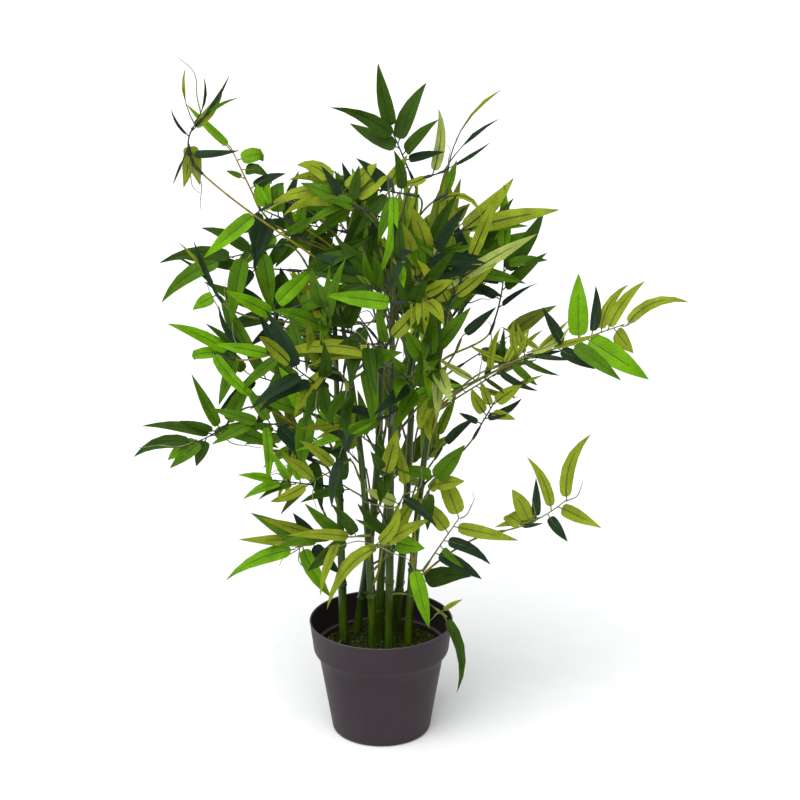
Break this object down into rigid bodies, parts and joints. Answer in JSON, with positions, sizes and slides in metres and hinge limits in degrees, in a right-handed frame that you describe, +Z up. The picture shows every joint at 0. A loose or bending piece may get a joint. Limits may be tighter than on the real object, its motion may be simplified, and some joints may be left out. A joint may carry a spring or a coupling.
{
  "type": "artificial potted bamboo",
  "caption": "Artificial bamboo with fabric leaves on slender green canes, standing in a dark plastic nursery pot topped with moss.",
  "frame": {"origin": "middle of the pot's flat underside", "axes": "+Z up through the pot, +X to the right and -Y to the front as the plant is looked at"},
  "size_m": [0.5502, 0.3544, 0.7151],
  "materials": {
    "pot": "satin moulded plastic, warm dark grey",
    "filler": "rough cast filler",
    "moss": "loose granular moss",
    "cane": "satin moulded plastic, green",
    "bough": "satin moulded plastic, yellow-green",
    "leaf": "printed woven leaf fabric, green"
  },
  "bodies": {
    "root": {"bough_back_left": "bough", "bough_back_low": "bough", "bough_back_right": "bough", "bough_front_high": "bough", "bough_left_arm": "bough", "bough_left_high": "bough", "bough_left_mid": "bough", "bough_low_front": "bough", "bough_low_left": "bough", "bough_low_right": "bough", "bough_low_right_inner": "bough", "bough_pot_edge": "bough", "bough_right_arm": "bough", "bough_right_arm_inner": "bough", "bough_right_high": "bough", "bough_right_mid": "bough", "bough_top": "bough", "bough_upper_left": "bough", "bough_upper_left_tip": "bough", "cane_back": "cane", "cane_back_left": "cane", "cane_back_right": "cane", "cane_front": "cane", "cane_left": "cane", "cane_middle": "cane", "cane_right": "cane", "filler": "filler", "leaves_back_high": "leaf", "leaves_back_left": "leaf", "leaves_back_low": "leaf", "leaves_back_mid": "leaf", "leaves_back_right": "leaf", "leaves_back_top": "leaf", "leaves_core_left": "leaf", "leaves_core_low": "leaf", "leaves_core_right": "leaf", "leaves_crown_left": "leaf", "leaves_crown_right": "leaf", "leaves_front_high": "leaf", "leaves_front_low": "leaf", "leaves_inner_left": "leaf", "leaves_left_arm": "leaf", "leaves_left_high": "leaf", "leaves_left_mid": "leaf", "leaves_low_front": "leaf", "leaves_low_left": "leaf", "leaves_low_right": "leaf", "leaves_low_right_inner": "leaf", "leaves_pot_edge": "leaf", "leaves_right_arm": "leaf", "leaves_right_arm_inner": "leaf", "leaves_right_high": "leaf", "leaves_right_inner": "leaf", "leaves_right_mid": "leaf", "leaves_top": "leaf", "leaves_top_right": "leaf", "leaves_upper_left": "leaf", "leaves_upper_left_tip": "leaf", "moss": "moss", "pot": "pot"}
  },
  "joints": []
}
